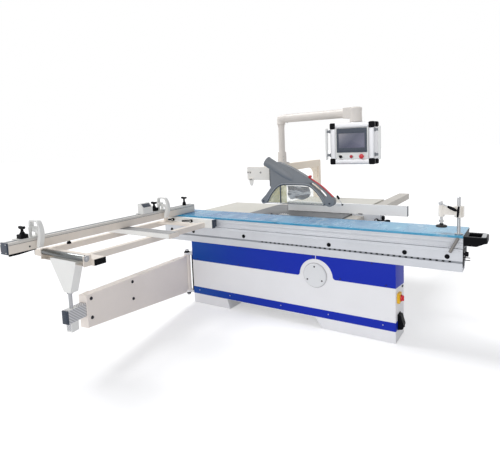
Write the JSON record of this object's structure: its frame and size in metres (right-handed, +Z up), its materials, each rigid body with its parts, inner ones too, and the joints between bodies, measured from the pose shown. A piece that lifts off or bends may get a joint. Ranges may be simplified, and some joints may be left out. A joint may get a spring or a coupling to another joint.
{
  "type": "sliding table saw",
  "caption": "Panel saw with a long sliding table on a cabinet base, outrigger crosscut table on a swing arm, rip fence, overhead blade guard and a swinging control console.",
  "frame": {"origin": "centre of the four floor anchor holes of the base, at floor level", "axes": "+X along the sliding table towards the operator's end, +Y from the crosscut side to the rip side, +Z up"},
  "size_m": [2.953, 4.132, 1.876],
  "materials": {
    "cabinet_paint": "satin",
    "blue_paint": "satin",
    "white_paint": "satin",
    "steel": "brushed",
    "yellow_plastic": "matte",
    "aluminium": "anodised",
    "black_plastic": "matte",
    "cast_iron": "ground",
    "grey_paint": "satin",
    "cream_paint": "satin",
    "red_plastic": "gloss",
    "chrome": "polished",
    "grey_plastic": "matte",
    "clear_plastic": "clear",
    "dark_plastic": "gloss",
    "motor_paint": "satin",
    "rubber": "matte"
  },
  "bodies": {
    "base": {"front_cabinet": "cabinet_paint", "rear_body": "cabinet_paint", "blue_panels": "blue_paint", "round_cover": "white_paint", "panel_screws": "steel", "power_inlet": "yellow_plastic", "slide_beam": "aluminium", "beam_plugs": "black_plastic", "cast_table": "cast_iron", "rear_table": "grey_paint", "ext_table": "grey_paint", "rip_rail": "aluminium", "overhead_frame": "cream_paint", "guard_box": "white_paint", "pendant_column": "cream_paint"},
    "main_switch": {"switch_knob": "red_plastic"},
    "beam_lock": {"lock_knob": "black_plastic"},
    "sliding_table": {"carriage": "aluminium", "push_handle": "black_plastic", "clamp_post": "steel"},
    "cage": {"roller_cage": "steel"},
    "hold_down": {"clamp_arm": "white_paint"},
    "hold_down_lever": {"clamp_lever": "black_plastic"},
    "hold_down_spindle": {"clamp_spindle": "steel"},
    "crosscut_table": {"crosscut_mount": "white_paint", "crosscut_frame": "cream_paint", "mid_bar": "aluminium", "support_bracket": "white_paint"},
    "table_lever_1": {"mount_lever_1": "black_plastic"},
    "table_lever_2": {"mount_lever_2": "black_plastic"},
    "roller": {"edge_roller": "chrome"},
    "mitre_fence": {"crosscut_fence": "aluminium"},
    "extension": {"fence_extension": "aluminium"},
    "stop_1": {"stop_block_1": "aluminium"},
    "flip_1": {"stop_lever_1": "white_paint"},
    "knob_1": {"stop_knob_1": "black_plastic"},
    "stop_2": {"stop_block_2": "aluminium"},
    "flip_2": {"stop_lever_2": "white_paint"},
    "knob_2": {"stop_knob_2": "black_plastic"},
    "knob_3": {"fence_knob": "black_plastic"},
    "arm": {"swing_arm": "cream_paint"},
    "telescope": {"tele_tube": "white_paint"},
    "rip_carrier": {"rip_head": "aluminium"},
    "rip_fence": {"rip_bar": "aluminium"},
    "rip_clamp": {"rip_lever": "black_plastic"},
    "guard": {"hood": "grey_plastic", "hood_window": "clear_plastic", "hood_strip": "red_plastic"},
    "pendant": {"pendant_arm": "cream_paint"},
    "console": {"control_box": "aluminium", "screen_panel": "dark_plastic"},
    "stop_button": {"e_stop": "red_plastic"},
    "start": {"start_button": "red_plastic"},
    "selector_switch": {"selector": "black_plastic"},
    "tilt": {"tilt_frame": "cast_iron"},
    "lift": {"lift_block": "cast_iron", "saw_motors": "motor_paint", "drive_belt": "rubber"},
    "blade": {"main_blade": "steel"},
    "scorer": {"scoring_blade": "steel"}
  },
  "joints": [
    {"name": "main_switch_turn", "type": "hinge", "parent": "base", "child": "main_switch", "pos_m": [1.002, -0.4, 0.345], "axis": [1, 0, 0], "range_deg": [0, 90]},
    {"name": "beam_lock_turn", "type": "hinge", "parent": "base", "child": "beam_lock", "pos_m": [1.459, -0.462, 0.755], "axis": [1, 0, 0], "range_deg": [0, 180]},
    {"name": "carriage_slide", "type": "slide", "parent": "base", "child": "sliding_table", "axis": [1, 0, 0], "range_m": [-1.35, 1.35]},
    {"name": "cage_slide", "type": "slide", "parent": "base", "child": "cage", "axis": [1, 0, 0], "range_m": [-0.68, 0.68]},
    {"name": "hold_down_height", "type": "slide", "parent": "sliding_table", "child": "hold_down", "axis": [0, 0, 1], "range_m": [-0.045, 0.06]},
    {"name": "hold_down_lever_turn", "type": "hinge", "parent": "hold_down", "child": "hold_down_lever", "pos_m": [1.311, -0.46, 1.106], "axis": [0, 1, 0], "range_deg": [-100, 0]},
    {"name": "hold_down_press", "type": "slide", "parent": "hold_down", "child": "hold_down_spindle", "axis": [0, 0, 1], "range_m": [0, 0.022]},
    {"name": "crosscut_shift", "type": "slide", "parent": "sliding_table", "child": "crosscut_table", "axis": [1, 0, 0], "range_m": [-0.03, 1.35]},
    {"name": "table_lever_1_turn", "type": "hinge", "parent": "crosscut_table", "child": "table_lever_1", "pos_m": [-1.177, -0.542, 0.845], "axis": [0, 1, 0], "range_deg": [-90, 0]},
    {"name": "table_lever_2_turn", "type": "hinge", "parent": "crosscut_table", "child": "table_lever_2", "pos_m": [-0.942, -0.542, 0.845], "axis": [0, 1, 0], "range_deg": [-90, 0]},
    {"name": "roller_spin", "type": "hinge", "parent": "crosscut_table", "child": "roller", "pos_m": [-0.883, -1.968, 0.856], "axis": [1, 0, 0], "continuous": true},
    {"name": "mitre_turn", "type": "hinge", "parent": "crosscut_table", "child": "mitre_fence", "pos_m": [-1.195, -0.62, 0.882], "axis": [0, 0, 1], "range_deg": [-45, 45]},
    {"name": "extension_slide", "type": "slide", "parent": "mitre_fence", "child": "extension", "axis": [0, -1, 0], "range_m": [0, 1.1]},
    {"name": "stop_1_slide", "type": "slide", "parent": "mitre_fence", "child": "stop_1", "axis": [0, 1, 0], "range_m": [-0.07, 0.9]},
    {"name": "flip_1_turn", "type": "hinge", "parent": "stop_1", "child": "flip_1", "pos_m": [-1.193, -1.99, 1.02], "axis": [0, 1, 0], "range_deg": [-90, 0]},
    {"name": "knob_1_turn", "type": "hinge", "parent": "stop_1", "child": "knob_1", "pos_m": [-1.195, -2.072, 0.998], "axis": [0, 0, 1], "range_deg": [-180, 180]},
    {"name": "stop_2_slide", "type": "slide", "parent": "mitre_fence", "child": "stop_2", "axis": [0, 1, 0], "range_m": [-0.9, 0.24]},
    {"name": "flip_2_turn", "type": "hinge", "parent": "stop_2", "child": "flip_2", "pos_m": [-1.193, -0.69, 1.02], "axis": [0, 1, 0], "range_deg": [-90, 0]},
    {"name": "knob_2_turn", "type": "hinge", "parent": "stop_2", "child": "knob_2", "pos_m": [-1.195, -0.772, 0.998], "axis": [0, 0, 1], "range_deg": [-180, 180]},
    {"name": "knob_3_turn", "type": "hinge", "parent": "mitre_fence", "child": "knob_3", "pos_m": [-1.195, -0.34, 0.962], "axis": [0, 0, 1], "range_deg": [-180, 180]},
    {"name": "arm_swing", "type": "hinge", "parent": "base", "child": "arm", "pos_m": [-1.058, -0.492, 0.3], "axis": [0, 0, 1], "range_deg": [-48, 44]},
    {"name": "telescope_slide", "type": "slide", "parent": "arm", "child": "telescope", "axis": [0.1367, -0.9906, 0], "range_m": [-0.02, 0.69]},
    {"name": "rip_slide", "type": "slide", "parent": "base", "child": "rip_carrier", "axis": [0, 1, 0], "range_m": [-0.2, 1]},
    {"name": "rip_bar_slide", "type": "slide", "parent": "rip_carrier", "child": "rip_fence", "axis": [1, 0, 0], "range_m": [-0.35, 0.25]},
    {"name": "rip_clamp_turn", "type": "hinge", "parent": "rip_carrier", "child": "rip_clamp", "pos_m": [0.673, 0.139, 0.84], "axis": [0, 1, 0], "range_deg": [0, 75]},
    {"name": "guard_height", "type": "slide", "parent": "base", "child": "guard", "axis": [0, 0, 1], "range_m": [-0.1, 0.02]},
    {"name": "pendant_swing", "type": "hinge", "parent": "base", "child": "pendant", "pos_m": [-0.414, 0.39, 1.8], "axis": [0, 0, 1], "range_deg": [-110, 110]},
    {"name": "console_turn", "type": "hinge", "parent": "pendant", "child": "console", "pos_m": [0.472, 0.205, 1.74], "axis": [0, 0, 1], "range_deg": [-90, 90]},
    {"name": "emergency_press", "type": "slide", "parent": "console", "child": "stop_button", "axis": [0, 1, 0], "range_m": [0, 0.006], "stiffness_N_per_m": 1500},
    {"name": "start_press", "type": "slide", "parent": "console", "child": "start", "axis": [0, 1, 0], "range_m": [0, 0.004], "stiffness_N_per_m": 800},
    {"name": "selector_turn", "type": "hinge", "parent": "console", "child": "selector_switch", "pos_m": [0.346, 0.13, 1.421], "axis": [0, 1, 0], "range_deg": [-45, 45]},
    {"name": "saw_tilt", "type": "hinge", "parent": "base", "child": "tilt", "pos_m": [-0.1, -0.09, 0.88], "axis": [-1, 0, 0], "range_deg": [0, 45]},
    {"name": "saw_lift", "type": "slide", "parent": "tilt", "child": "lift", "axis": [0, 0, 1], "range_m": [-0.025, 0.065]},
    {"name": "blade_spin", "type": "hinge", "parent": "lift", "child": "blade", "pos_m": [-0.147, -0.09, 0.7375], "axis": [0, 1, 0], "continuous": true},
    {"name": "scoring_spin", "type": "hinge", "parent": "tilt", "child": "scorer", "pos_m": [0.078, -0.09, 0.82], "axis": [0, 1, 0], "continuous": true}
  ],
  "couplings": [
    {"joint": "cage_slide", "follows": "carriage_slide", "ratio": 0.5},
    {"joint": "arm_swing", "follows": "carriage_slide", "rad_per_m": 0.56},
    {"joint": "hold_down_press", "follows": "hold_down_lever_turn", "m_per_rad": -0.0115}
  ]
}
